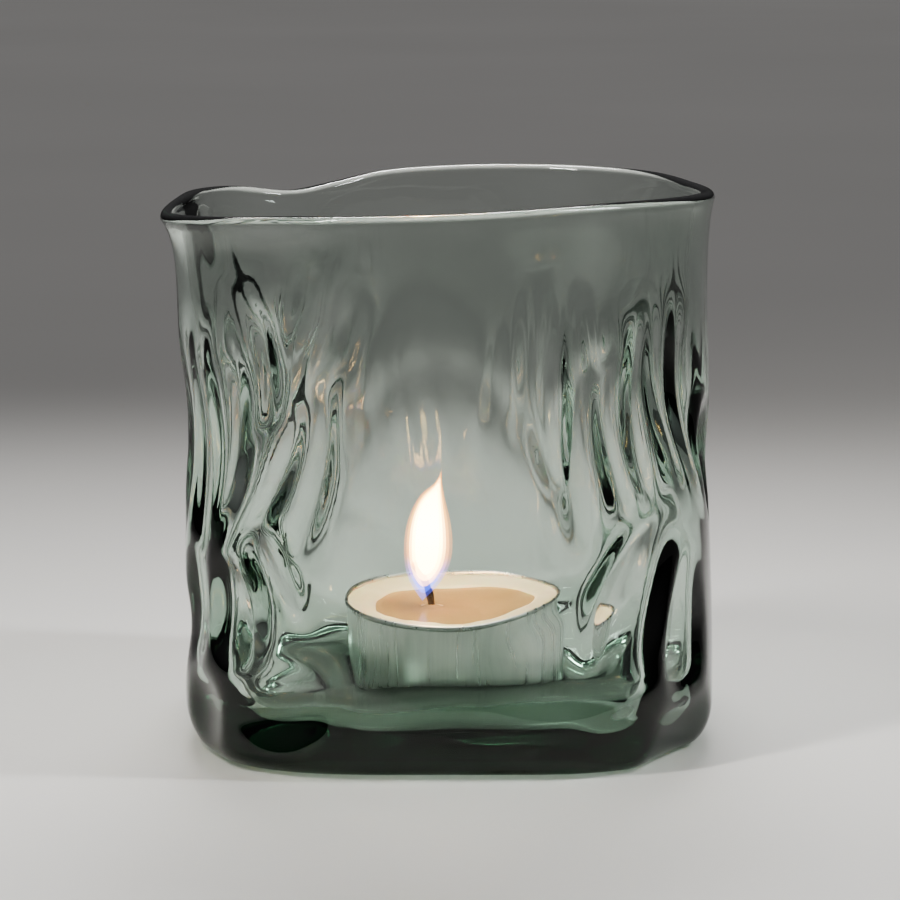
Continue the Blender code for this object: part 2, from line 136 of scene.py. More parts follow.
# Dents pressed into the wall: angle in degrees; height, half width, half height and depth in mm;
# lean and taper
DENTS = (
    # front: the tall bell, and the shallow belly at its lower right
    (-90.0, 38.2, 19.0, 26.0, 5.4, -0.04, 0.30),
    (-68.0, 19.2, 15.0, 8.5, 2.6, 0.00, 0.00),
    # front left: a triangle under the rim, leaning folds, the arch and a facet on the foot
    (-127.0, 81.2, 9.5, 5.5, 1.9, 0.10, 0.00),
    (-124.5, 75.7, 4.8, 7.0, 2.1, -0.10, -0.30),
    (-115.5, 65.0, 3.6, 8.5, 1.4, 0.40, 0.00),
    (-129.5, 63.5, 2.6, 7.5, 1.5, -0.15, 0.00),
    (-119.5, 47.5, 3.5, 13.5, 2.6, 0.18, 0.00),
    (-127.1, 46.4, 3.8, 10.5, 2.9, 0.44, 0.00),
    (-136.5, 51.5, 3.4, 12.0, 2.4, 0.05, 0.00),
    (-144.5, 47.0, 3.7, 16.0, 2.7, -0.05, 0.00),
    (-153.0, 50.0, 3.9, 15.0, 2.1, 0.08, 0.00),
    (-126.0, 33.0, 2.2, 6.5, 1.5, -0.35, 0.00),
    (-133.6, 25.0, 3.9, 8.5, 3.6, 0.00, 0.30),
    (-147.0, 24.0, 5.4, 11.0, 2.6, 0.10, 0.20),
    (-124.0, 10.5, 7.4, 8.2, 2.8, 0.25, 0.00),
    (-143.0, 8.0, 5.6, 7.0, 2.0, 0.00, 0.00),
    # left side
    (-162.0, 51.2, 4.6, 14.0, 2.4, 0.12, 0.00),
    (-177.0, 43.2, 12.0, 19.0, 3.8, -0.10, 0.30),
    (-166.0, 19.2, 9.0, 9.0, 2.8, 0.10, 0.00),
    (172.0, 19.2, 10.0, 8.0, 2.4, 0.00, 0.00),
    (162.0, 60.2, 5.0, 14.0, 2.4, 0.20, 0.00),
    # back left
    (141.0, 69.2, 12.0, 13.0, 2.0, 0.00, 0.00),
    (152.0, 41.2, 4.8, 15.0, 2.8, -0.20, 0.00),
    (141.0, 39.2, 4.6, 14.0, 2.8, 0.10, 0.00),
    (130.0, 42.2, 4.6, 15.0, 2.9, 0.20, 0.00),
    (139.0, 18.2, 8.0, 8.5, 2.8, 0.00, 0.00),
    # back
    (94.0, 40.2, 19.0, 25.0, 5.0, 0.08, 0.30),
    (118.0, 52.2, 4.6, 14.0, 2.4, 0.10, 0.00),
    (112.0, 19.2, 8.0, 8.0, 2.2, 0.00, 0.00),
    (68.0, 52.2, 4.4, 15.0, 2.6, -0.20, 0.00),
    (58.0, 46.2, 4.4, 15.0, 2.9, 0.12, 0.00),
    (48.0, 52.2, 4.4, 13.0, 2.5, -0.05, 0.00),
    (53.0, 21.2, 8.5, 11.0, 3.2, 0.20, 0.20),
    (62.0, 77.2, 9.0, 7.0, 1.7, 0.00, 0.00),
    # right side
    (38.0, 48.2, 4.4, 16.0, 2.6, 0.15, 0.00),
    (28.0, 55.2, 4.2, 12.0, 2.2, 0.00, 0.00),
    (12.0, 51.2, 9.5, 16.0, 3.2, 0.10, 0.20),
    (20.0, 22.2, 10.0, 10.0, 3.0, -0.10, 0.00),
    (-13.0, 44.2, 8.0, 10.5, 4.6, -0.20, 0.00),
    # front right: upright folds, a facet that climbs to the right, and the cut corner of the foot
    (-28.5, 56.0, 4.2, 12.5, 2.2, -0.05, 0.00),
    (-36.5, 57.0, 3.8, 12.0, 2.3, -0.10, 0.00),
    (-44.5, 55.5, 3.5, 12.5, 2.7, 0.10, 0.00),
    (-52.0, 52.5, 3.4, 12.0, 2.7, -0.08, 0.00),
    (-59.5, 50.0, 3.4, 13.5, 3.0, 0.08, 0.00),
    (-67.0, 56.0, 3.0, 11.0, 2.3, -0.12, 0.00),
    (-57.0, 71.0, 4.6, 8.0, 1.1, 0.10, 0.00),
    (-54.0, 25.0, 6.2, 13.5, 3.8, 0.35, 0.00),
    (-40.0, 20.0, 5.6, 12.5, 2.6, 0.10, 0.00),
    (-54.5, 5.5, 6.0, 5.0, 1.5, 0.00, 0.00),
    (-40.0, 3.5, 9.0, 8.5, 3.2, 0.00, 0.00),
)
RIDGE_SHARPNESS = 1.9 / MM  # higher gives a crisper ridge where two dents meet
INNER_RIDGE_SHARPNESS = 1.1 / MM
DENT_ARC_RADIUS = 42.0 * MM  # turns an angle into a distance along the wall
DENT_NARROWEST = 0.3  # a tapered dent keeps at least this share of its width
DENT_OUTSIDE = -3.0  # beyond its edge a dent's bowl is followed to this many times its depth

# Fine relief that only the looks need
FINE_FULL_FROM = 10.0 * MM  # the fine relief is at its full depth between these levels
FINE_FULL_TO = 74.0 * MM
WAVE_DEPTH = 0.10 * MM  # slow waves left by the hot glass
FLUTE_DEPTH = 0.34 * MM  # short flutes where the folds begin
FLUTE_LEVEL = 60.0 * MM
FLUTE_REACH = 7.0 * MM
FLUTE_COUNT = 58
RIPPLE_DEPTH = 0.06 * MM  # upright ripples on the inside of the back wall
RIPPLE_LEVEL = 42.0 * MM
RIPPLE_REACH = 20.0 * MM
RIPPLE_COUNT = 41

GLASS_SEGMENTS = 360
OUTER_STEPS = 120
OUTER_EVEN_SHARE = 0.35  # the rest of the outer steps crowd towards the foot
OUTER_CROWDING = 1.4
OUTER_START = 0.02 * MM  # height of the outer wall's first ring over the flat it rests on
INNER_STEPS = 100
BEAD_STEPS = 12
PUNT_STEPS = 6
FILLET_STEPS = 14


def closed_curve(points, column, angles):
    """A smooth closed curve through (angle in degrees, value...) points, read at some angles."""
    rows = sorted((math.radians(p[0]) % TAU, p[column]) for p in points)
    knots = np.array([row[0] for row in rows])
    values = np.array([row[1] for row in rows])
    before = np.roll(values, 1)
    after = np.roll(values, -1)
    span_before = (knots - np.roll(knots, 1)) % TAU
    span_after = (np.roll(knots, -1) - knots) % TAU
    slopes = (
        (values - before) / span_before * span_after + (after - values) / span_after * span_before
    ) / (span_before + span_after)
    turned = np.asarray(angles) % TAU
    left = (np.searchsorted(knots, turned, side="right") - 1) % len(knots)
    right = (left + 1) % len(knots)
    span = span_after[left]
    t = ((turned - knots[left]) % TAU) / span
    return (
        (2 * t**3 - 3 * t**2 + 1) * values[left]
        + (t**3 - 2 * t**2 + t) * span * slopes[left]
        + (3 * t**2 - 2 * t**3) * values[right]
        + (t**3 - t**2) * span * slopes[right]
    )


def smooth_step(low, high, value):
    t = np.clip((value - low) / (high - low), 0.0, 1.0)
    return t * t * (3.0 - 2.0 * t)


def foot_outline(angles):
    """The foot's rounded square, as a distance from its middle."""
    power = FOOT_SQUARENESS
    spread = np.abs(np.cos(angles)) ** power + np.abs(np.sin(angles)) ** power
    return FOOT_HALF_WIDTH / spread ** (1.0 / power)


def relief(angles, heights, sharpness):
    """How far the dents press the wall in. Neighbouring dents meet in a ridge."""
    total = np.ones_like(heights)
    for angle, height, half_width, half_height, depth, lean, taper in DENTS:
        turn = (angles - math.radians(angle) + math.pi) % TAU - math.pi
        rise = heights - height * MM
        along = rise / (half_height * MM)
        width = half_width * MM * np.maximum(1.0 - taper * along, DENT_NARROWEST)
        across = (turn * DENT_ARC_RADIUS - lean * rise) / width
        bowl = depth * MM * np.maximum(1.0 - across**2 - along**2, DENT_OUTSIDE)
        total += np.exp(sharpness * bowl)
    return np.log(total) / sharpness


def hand_made(angles, heights):
    """Slow waves over the whole wall, and short uneven flutes where the folds begin."""
    waves = (
        np.sin(3.0 * angles + heights / (9.0 * MM))
        + 0.7 * np.sin(8.0 * angles - heights / (14.0 * MM) + 1.3)
        + 0.5 * np.sin(17.0 * angles + heights / (6.5 * MM) + 0.4)
    )
    level = FLUTE_LEVEL + 4.0 * MM * np.sin(5.0 * angles + 0.8) + 2.0 * MM * np.sin(13.0 * angles)
    band = np.exp(-(((heights - level) / FLUTE_REACH) ** 2))
    patches = 0.5 + 0.5 * np.sin(4.0 * angles + 2.6) * np.sin(7.0 * angles + 0.5)
    swing = 0.25 * np.sin(heights / (5.0 * MM) + 3.0 * angles)
    flutes = np.sin(FLUTE_COUNT * angles + 2.2 * np.sin(6.0 * angles) + swing)
    return WAVE_DEPTH * waves + FLUTE_DEPTH * band * patches * flutes


def ripples(angles, heights):
    """Shallow upright ripples, strongest at the back."""
    band = np.exp(-(((heights - RIPPLE_LEVEL) / RIPPLE_REACH) ** 2))
    back = 0.5 + 0.5 * np.sin(angles)
    drift = 0.9 * np.sin(heights / (11.0 * MM) + 5.0 * angles)
    phase = RIPPLE_COUNT * angles + 1.7 * np.sin(4.0 * angles) + drift
    return RIPPLE_DEPTH * band * back * np.sin(phase)


def lift(angles, level):
    """Real height of a level on the wall: the rim's rise and fall fades out towards the foot."""
    rim = closed_curve(RIM_OUTLINE, 2, angles)
    return level + (rim - RIM_LEVEL) * smooth_step(RIM_SWING_FROM, RIM_LEVEL, level)


def middle_x(level):
    """The glass's middle at a level: over the foot's at the bottom, on the axis at the rim."""
    return FOOT_SHIFT_X * (1.0 - smooth_step(0.0, RIM_LEVEL, level))


def wall_radius(angles, level):
    """The wall's outline at a level, before dents."""
    rim = closed_curve(RIM_OUTLINE, 1, angles) - closed_curve(RIM_FLARE, 1, angles)
    share = smooth_step(*OUTLINE_BLEND, level)
    return foot_outline(angles) * (1.0 - share) + rim * share


def rim_flare(angles, level):
    """The flare dies away below the rim."""
    flare = closed_curve(RIM_FLARE, 1, angles)
    return flare * math.exp(-(RIM_LEVEL - BEAD - level) / FLARE_FALL)


def fine_share(level):
    """The fine relief fades out at the foot and at the rim."""
    above_foot = smooth_step(0.0, FINE_FULL_FROM, level)
    return above_foot * (1.0 - smooth_step(FINE_FULL_TO, RIM_LEVEL, level))


def outer_radius(angles, level):
    """The outer wall at a level: outline, dents, rounded foot and flared rim."""
    heights = lift(angles, level)
    radius = wall_radius(angles, level) - relief(angles, heights, RIDGE_SHARPNESS)
    radius = radius - fine_share(level) * hand_made(angles, heights)
    if level < FOOT_ROUND_HEIGHT:
        drop = 1.0 - level / FOOT_ROUND_HEIGHT
        radius = radius - FOOT_ROUND * (1.0 - math.sqrt(1.0 - drop * drop))
    return radius + rim_flare(angles, level)


def inner_radius(angles, level):
    """The inner wall at a level: it follows the outer one, with softer ridges."""
    heights = lift(angles, level)
    high = smooth_step(FILLET_TOP, WALL_HIGH_FROM, level)
    wall = WALL_LOW + (WALL_HIGH - WALL_LOW) * high
    radius = wall_radius(angles, level) - wall
    radius = radius - INNER_RELIEF * relief(angles, heights, INNER_RIDGE_SHARPNESS)
    fine = hand_made(angles + INNER_FINE_TURN, heights)
    radius = radius - INNER_FINE_RELIEF * fine_share(level) * fine
    radius = radius - ripples(angles, heights)
    return radius + rim_flare(angles, level)


def ring(angles, radius, heights, shift_x):
    """Points of one ring of the glass."""
    x = shift_x + radius * np.cos(angles)
    y = radius * np.sin(angles)
    z = np.broadcast_to(heights, angles.shape)
    return np.stack((x, y, z), axis=1)


def glass_rings():
    """Every ring of the glass, from the middle of its underside, up, over the rim and down."""
    angles = np.arange(GLASS_SEGMENTS) * TAU / GLASS_SEGMENTS
    rings = []

    # underside: the round punt with a soft edge, and the flat that it rests on
    foot = outer_radius(angles, 0.0)
    shift = middle_x(0.0)
    flat_top = PUNT_RADIUS - PUNT_SLOPE
    for share in (0.04, 0.5):
        rings.append(ring(angles, np.full(GLASS_SEGMENTS, share * flat_top), PUNT_RISE, shift))
    for step in range(PUNT_STEPS + 1):
        part = step / PUNT_STEPS
        rise = PUNT_RISE * (1.0 - smooth_step(0.0, 1.0, part))
        radius = np.full(GLASS_SEGMENTS, flat_top + PUNT_SLOPE * part)
        rings.append(ring(angles, radius, rise, shift))
    for share in (0.5, 1.0):
        radius = PUNT_RADIUS + (REST_OUTER * foot - PUNT_RADIUS) * share
        rings.append(ring(angles, radius, 0.0, shift))

    # outer wall, with closer rings on the foot's round
    bead_foot = RIM_LEVEL - BEAD
    for step in range(OUTER_STEPS + 1):
        part = step / OUTER_STEPS
        crowded = (1.0 - OUTER_EVEN_SHARE) * part**OUTER_CROWDING
        level = bead_foot * (OUTER_EVEN_SHARE * part + crowded) + OUTER_START * (1.0 - part)
        radius = outer_radius(angles, level)
        rings.append(ring(angles, radius, lift(angles, level), middle_x(level)))

    # rim: a round bead from the outer wall over to the inner one
    outside = outer_radius(angles, bead_foot)
    inside = inner_radius(angles, bead_foot)
    centre = 0.5 * (outside + inside)
    half = 0.5 * (outside - inside)
    top = lift(angles, bead_foot)
    for step in range(1, BEAD_STEPS):
        turn = math.pi * step / BEAD_STEPS
        reach = half * math.cos(turn) * (1.0 + BEAD_FULLNESS * math.sin(turn))
        rings.append(ring(angles, centre + reach, top + BEAD * math.sin(turn), 0.0))

    # inner wall, down to the floor's fillet
    for step in range(INNER_STEPS + 1):
        level = bead_foot + (FILLET_TOP - bead_foot) * step / INNER_STEPS
        radius = inner_radius(angles, level)
        rings.append(ring(angles, radius, lift(angles, level), middle_x(level)))

    # fillet and floor
    start = inner_radius(angles, FILLET_TOP)
    shift = middle_x(FILLET_TOP)
    for step in range(1, FILLET_STEPS + 1):
        turn = 0.5 * math.pi * step / FILLET_STEPS
        radius = start - FLOOR_FILLET_RUN * (1.0 - math.cos(turn))
        rings.append(ring(angles, radius, FILLET_TOP - FLOOR_FILLET_RISE * math.sin(turn), shift))
    for share in (0.95, 0.6, 0.3, 0.05):
        rings.append(ring(angles, np.full(GLASS_SEGMENTS, share * FLOOR_FLAT_RADIUS), FLOOR_Z, 0.0))
    return rings


# ---------------------------------------------------------------------------------------------
# Mesh helpers
# ---------------------------------------------------------------------------------------------


def shown(name, mesh, look, sharp_angle=None):
    """Links a bmesh as an object with a material, smooth but for edges over an angle."""
    data = bpy.data.meshes.new(name)
    mesh.to_mesh(data)
    mesh.free()
    data.shade_smooth()
    if sharp_angle is not None:
        data.set_sharp_from_angle(angle=math.radians(sharp_angle))
    data.materials.append(look)
    thing = bpy.data.objects.new(name, data)
    bpy.context.scene.collection.objects.link(thing)
    return thing


def from_rings(rings):
    """Bridges a row of rings into a closed mesh and caps both ends."""
    mesh = bmesh.new()
    rows = [[mesh.verts.new(point) for point in points] for points in rings]
    for lower, upper in zip(rows, rows[1:]):
        count = len(lower)
        for i in range(count):
            j = (i + 1) % count
            mesh.faces.new((lower[i], lower[j], upper[j], upper[i]))
    mesh.faces.new(list(reversed(rows[0])))
    mesh.faces.new(rows[-1])
    bmesh.ops.recalc_face_normals(mesh, faces=mesh.faces)
    return mesh


def turned_rings(profile, segments, wobble, centre):
    """Rings of a (radius, height) profile round an axis, each bent by the wobble."""
    angles = np.arange(segments) * TAU / segments
    rings = []
    for radius, height in profile:
        radii, heights = wobble(angles, np.full(segments, radius), np.full(segments, height))
        x = centre[0] + radii * np.cos(angles)
        y = centre[1] + radii * np.sin(angles)
        rings.append(np.stack((x, y, centre[2] + heights), axis=1))
    return rings


CORNER_REACH = 0.45  # share of the shorter side next to it that a rounded corner takes
CORNER_STEPS = 4


def unit(vector):
    return vector / max(np.linalg.norm(vector), 1e-12)


def rounded(points):
    """A profile with every corner but its ends cut by a short arc."""
    result = [points[0]]
    for before, corner, after in zip(points, points[1:], points[2:]):
        corner = np.array(corner)
        back = np.array(before) - corner
        on = np.array(after) - corner
        reach = CORNER_REACH * min(np.linalg.norm(back), np.linalg.norm(on))
        start = corner + reach * unit(back)
        end = corner + reach * unit(on)
        for step in range(CORNER_STEPS + 1):
            t = step / CORNER_STEPS
            point = (1 - t) ** 2 * start + 2 * t * (1 - t) * corner + t * t * end
            result.append((point[0], point[1]))
    result.append(points[-1])
    return result


# ---------------------------------------------------------------------------------------------
# Materials
# ---------------------------------------------------------------------------------------------


class Nodes:
    """A material's node tree, with short calls to add and join nodes."""

    def __init__(self, name):
        self.material = bpy.data.materials.new(name)
        self.material.use_nodes = True
        self.tree = self.material.node_tree
        self.shader = self.tree.nodes["Principled BSDF"]
        self.output = self.tree.nodes["Material Output"]

    def add(self, kind):
        return self.tree.nodes.new(kind)

    def join(self, source, target):
        self.tree.links.new(source, target)

    def set(self, **values):
        for key, value in values.items():
            self.shader.inputs[key.replace("_", " ")].default_value = value

    def place(self, scale):
        """Object coordinates, stretched by a scale."""
        coordinates = self.add("ShaderNodeTexCoord")
        mapping = self.add("ShaderNodeMapping")
        mapping.inputs["Scale"].default_value = scale
        self.join(coordinates.outputs["Object"], mapping.inputs["Vector"])
        return mapping.outputs["Vector"]

    def height(self, low, high):
        """Object height, mapped from low and high onto 0 to 1."""
        coordinates = self.add("ShaderNodeTexCoord")
        parts = self.add("ShaderNodeSeparateXYZ")
        self.join(coordinates.outputs["Object"], parts.inputs["Vector"])
        node = self.add("ShaderNodeMapRange")
        node.inputs["From Min"].default_value = low
        node.inputs["From Max"].default_value = high
        self.join(parts.outputs["Z"], node.inputs["Value"])
        return node.outputs["Result"]

    def noise(self, scale, detail, stretch=(1.0, 1.0, 1.0)):
        node = self.add("ShaderNodeTexNoise")
        node.inputs["Scale"].default_value = scale
        node.inputs["Detail"].default_value = detail
        self.join(self.place(stretch), node.inputs["Vector"])
        return node.outputs["Fac"]

    def ramp(self, value, stops):
        """Colours at positions from 0 to 1."""
        node = self.add("ShaderNodeValToRGB")
        elements = node.color_ramp.elements
        while len(elements) < len(stops):
            elements.new(0.5)
        for element, (position, colour) in zip(elements, stops):
            element.position = position
            element.color = (*colour, 1.0)
        self.join(value, node.inputs["Fac"])
        return node.outputs["Color"]

    def spread(self, value, low, high):
        """Maps 0 to 1 onto low to high."""
        node = self.add("ShaderNodeMapRange")
        node.inputs["To Min"].default_value = low
        node.inputs["To Max"].default_value = high
        self.join(value, node.inputs["Value"])
        return node.outputs["Result"]

    def bump(self, height, strength, distance):
        node = self.add("ShaderNodeBump")
        node.inputs["Strength"].default_value = strength
        node.inputs["Distance"].default_value = distance
        self.join(height, node.inputs["Height"])
        self.join(node.outputs["Normal"], self.shader.inputs["Normal"])


GLASS_ABSORPTION = (0.37, 0.57, 0.45, 1.0)  # grey-green, darker where the glass is thicker
GLASS_DENSITY = 84.0


def smoky_glass():
    look = Nodes("smoky_glass")
    look.set(Base_Color=(0.97, 0.985, 0.97, 1.0), Transmission_Weight=1.0, IOR=1.5)
    smears = look.noise(70.0, detail=5.0, stretch=(1.0, 1.0, 0.35))
    look.join(look.spread(smears, 0.0, 0.035), look.shader.inputs["Roughness"])
    skin = look.noise(420.0, detail=2.0)
    look.bump(skin, 0.03, 0.05 * MM)
    body = look.add("ShaderNodeVolumeAbsorption")
    body.inputs["Color"].default_value = GLASS_ABSORPTION
    body.inputs["Density"].default_value = GLASS_DENSITY
    look.join(body.outputs["Volume"], look.output.inputs["Volume"])
    return look.material


def aluminium():
    look = Nodes("aluminium")
    look.set(Metallic=1.0)
    drawn = look.noise(900.0, detail=3.0, stretch=(1.0, 1.0, 0.04))
    tone = look.ramp(drawn, ((0.3, (0.70, 0.70, 0.69)), (0.7, (0.84, 0.84, 0.82))))
    look.join(tone, look.shader.inputs["Base Color"])
    look.join(look.spread(drawn, 0.20, 0.38), look.shader.inputs["Roughness"])
    look.bump(drawn, 0.25, 0.03 * MM)
    return look.material


def paraffin():
    look = Nodes("paraffin_wax")
    look.set(
        Subsurface_Weight=0.55,
        Subsurface_Radius=(4.0, 2.2, 1.1),
        Subsurface_Scale=0.9 * MM,
        Specular_IOR_Level=0.45,
    )
    cloud = look.noise(160.0, detail=4.0)
    tone = look.ramp(cloud, ((0.25, (0.86, 0.79, 0.64)), (0.75, (0.95, 0.90, 0.79))))
    look.join(tone, look.shader.inputs["Base Color"])
    look.join(look.spread(cloud, 0.30, 0.50), look.shader.inputs["Roughness"])
    grain = look.noise(700.0, detail=3.0)
    look.bump(grain, 0.25, 0.08 * MM)
    return look.material


def melted_wax():
    look = Nodes("melted_wax")
    look.set(Transmission_Weight=0.45, IOR=1.43)
    swirl = look.noise(130.0, detail=3.0)
    tone = look.ramp(swirl, ((0.3, (0.66, 0.50, 0.31)), (0.7, (0.78, 0.62, 0.41))))
    look.join(tone, look.shader.inputs["Base Color"])
    film = look.noise(240.0, detail=2.0)
    look.join(look.spread(film, 0.01, 0.05), look.shader.inputs["Roughness"])
    return look.material


def tinplate():
    look = Nodes("tinplate")
    look.set(Metallic=1.0)
    rolled = look.noise(1200.0, detail=2.0, stretch=(1.0, 0.05, 1.0))
    tone = look.ramp(rolled, ((0.3, (0.52, 0.51, 0.49)), (0.7, (0.68, 0.67, 0.64))))
    look.join(tone, look.shader.inputs["Base Color"])
    look.join(look.spread(rolled, 0.28, 0.45), look.shader.inputs["Roughness"])
    return look.material


WICK_CHAR_FROM = 0.30  # share of the wick's height over the wax where the char begins


def cotton(z_wax, z_tip):
    """Waxed cotton, brown at the wax and charred above, with an ember at the very tip."""
    look = Nodes("charred_cotton")
    look.set(Specular_IOR_Level=0.2)
    height = look.height(z_wax, z_tip)
    char = look.ramp(
        height,
        (
            (0.0, (0.40, 0.31, 0.20)),
            (0.12, (0.16, 0.11, 0.07)),
            (WICK_CHAR_FROM, (0.030, 0.024, 0.019)),
            (1.0, (0.012, 0.010, 0.009)),
        ),
    )
    look.join(char, look.shader.inputs["Base Color"])
    ember = look.ramp(
        height,
        ((0.0, (0.0, 0.0, 0.0)), (0.86, (0.0, 0.0, 0.0)), (0.97, (1.0, 0.22, 0.03))),
    )
    look.join(ember, look.shader.inputs["Emission Color"])
    look.set(Emission_Strength=6.0)
    fibre = look.noise(5200.0, detail=3.0)
    look.join(look.spread(fibre, 0.75, 1.0), look.shader.inputs["Roughness"])
    look.bump(fibre, 0.6, 0.06 * MM)
    return look.material


def flame_light(name, z_low, z_high, stops, strength, alpha):
    """Burning gas: a colour that changes with height, and a share of see-through."""
    look = Nodes(name)
    look.set(Base_Color=(0.0, 0.0, 0.0, 1.0), Roughness=1.0, Specular_IOR_Level=0.0)
    glow = look.ramp(look.height(z_low, z_high), stops)
    look.join(glow, look.shader.inputs["Emission Color"])
    look.set(Emission_Strength=strength, Alpha=alpha)
    look.material.cycles.emission_sampling = "FRONT"
    return look.material


def floor_material():
    look = Nodes("pale_floor")
    look.set(Specular_IOR_Level=0.25)
    cloud = look.noise(2.2, detail=4.0)
    tone = look.ramp(cloud, ((0.3, (0.60, 0.585, 0.56)), (0.7, (0.635, 0.62, 0.595))))
    look.join(tone, look.shader.inputs["Base Color"])
    fine = look.noise(900.0, detail=3.0)
    look.join(look.spread(fine, 0.50, 0.62), look.shader.inputs["Roughness"])
    look.bump(fine, 0.12, 0.10 * MM)
    return look.material


# ---------------------------------------------------------------------------------------------
# The glass
# ---------------------------------------------------------------------------------------------

rings = glass_rings()
corners = np.concatenate(rings)
middle = 0.5 * (corners.min(axis=0) + corners.max(axis=0))
middle[2] = 0.0
glass = shown("glass_body", from_rings([points - middle for points in rings]), smoky_glass())
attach(glass, "holder")
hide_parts("glass_holder")

# ---------------------------------------------------------------------------------------------
# The tealight. Its cup gives its place, and heights are over the cup's bottom.
# ---------------------------------------------------------------------------------------------

cup_low, cup_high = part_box("tealight_cup")
CANDLE = (0.5 * (cup_low.x + cup_high.x), 0.5 * (cup_low.y + cup_high.y), cup_low.z)
CUP_RADIUS = 19.0 * MM
CUP_HEIGHT = cup_high.z - cup_low.z
CUP_WALL = 0.16 * MM
CUP_LIP = 0.45 * MM
CUP_FOOT_RADIUS = 16.8 * MM
CUP_FOOT_RISE = 0.7 * MM
CUP_PANEL_RADIUS = 11.5 * MM
CUP_PANEL_RISE = 0.5 * MM
CUP_HEEL_RUN = 0.5 * MM  # the slope between the cup's foot and its wall
CUP_HEEL_RISE = 1.2 * MM
CUP_SEGMENTS = 240
LIP_FROM = -60.0  # degrees at which the rolled lip leaves the wall
LIP_TURN = 20.0  # degrees from one of its points to the next
LIP_POINTS = 13
WAX_TOP = 12.6 * MM
WAX_GAP = 0.12 * MM  # between the wax and the cup's wall
WAX_SEGMENTS = 180
POOL_DEPTH = 1.6 * MM
POOL_RADIUS = 13.0 * MM
POOL_LEVEL = WAX_TOP - 0.55 * MM
WICK_RADIUS = 0.65 * MM
WICK_RISE = 9.6 * MM
WICK_BEND = 3.0 * MM
WICK_X = -3.6 * MM  # the wick has drifted to the left in the melted wax
WICK_FOOT = (CANDLE[0] + WICK_X, CANDLE[1], CANDLE[2])
WICK_BOTTOM = 1.4 * MM
WICK_STRAIGHT = 0.5  # share of the wick's path that is upright, in the wax
WICK_SEGMENTS = 48
WICK_STEPS = 150
WICK_STRANDS = 4
WICK_TURNS = 7.5  # times the braid's pattern repeats from the wick's foot to its tip
WICK_CLOSE_FROM = 0.985  # the burnt tip draws in over the last of the path
WICK_CLOSE_SPAN = 0.015


def foil_wobble(angles, radii, heights):
    """Thin foil isn't quite round: a few flats, and a lip that rises and falls a little."""
    share = np.clip(heights / CUP_HEIGHT, 0.0, 1.0)
    flats = 0.10 * MM * np.sin(3 * angles + 0.6) + 0.05 * MM * np.sin(7 * angles + 2.0)
    pleats = 0.018 * MM * np.sin(60 * angles) * np.clip(1.0 - share * 2.2, 0.0, 1.0)
    outside = np.clip(radii / CUP_RADIUS - 0.85, 0.0, 0.15) / 0.15
    lip = 0.05 * MM * np.sin(5 * angles + 1.0) * share
    return radii + (flats * share + pleats) * outside, heights + lip * outside


def foil_cup():
    """Drawn foil cup: stepped bottom, thin wall, rolled edge."""
    inner = CUP_RADIUS - CUP_WALL
    neck = CUP_HEIGHT - 2.0 * CUP_LIP
    outside = [
        (0.2 * MM, CUP_PANEL_RISE),
        (CUP_PANEL_RADIUS - 1.0 * MM, CUP_PANEL_RISE),
        (CUP_PANEL_RADIUS, 0.0),
        (CUP_FOOT_RADIUS, 0.0),
        (CUP_RADIUS - CUP_HEEL_RUN, CUP_FOOT_RISE),
        (CUP_RADIUS, CUP_FOOT_RISE + CUP_HEEL_RISE),
        (CUP_RADIUS, 0.5 * neck),
        (CUP_RADIUS, neck),
    ]
    lip = []
    for step in range(LIP_POINTS):
        turn = math.radians(LIP_FROM + LIP_TURN * step)
        reach = inner + 0.4 * CUP_LIP + CUP_LIP * math.cos(turn)
        lip.append((reach, CUP_HEIGHT - CUP_LIP + CUP_LIP * math.sin(turn)))
    inside = [
        (inner, neck),
        (inner, 0.5 * neck),
        (inner, CUP_FOOT_RISE + CUP_HEEL_RISE),
        (inner - CUP_HEEL_RUN, CUP_FOOT_RISE + CUP_WALL),
        (CUP_FOOT_RADIUS - 0.1 * MM, CUP_WALL),
        (CUP_PANEL_RADIUS + 0.1 * MM, CUP_WALL),
        (CUP_PANEL_RADIUS - 0.9 * MM, CUP_PANEL_RISE + CUP_WALL),
        (0.2 * MM, CUP_PANEL_RISE + CUP_WALL),
    ]
    profile = rounded(outside) + lip + rounded(inside)
    return from_rings(turned_rings(profile, CUP_SEGMENTS, foil_wobble, CANDLE))


def pool_edge(angles):
    """The melted pool's uneven outline."""
    return (
        POOL_RADIUS
        + 0.50 * MM * np.sin(2 * angles + 0.9)
        + 0.28 * MM * np.sin(5 * angles + 2.1)
        + 0.12 * MM * np.sin(11 * angles)
    )


def wax_ring(angles, radius, height):
    """Points of one ring of the wax or the pool; heights are over the cup's bottom."""
    radii = np.broadcast_to(radius, angles.shape)
    return ring(angles, radii, height, 0.0) + np.array(CANDLE)


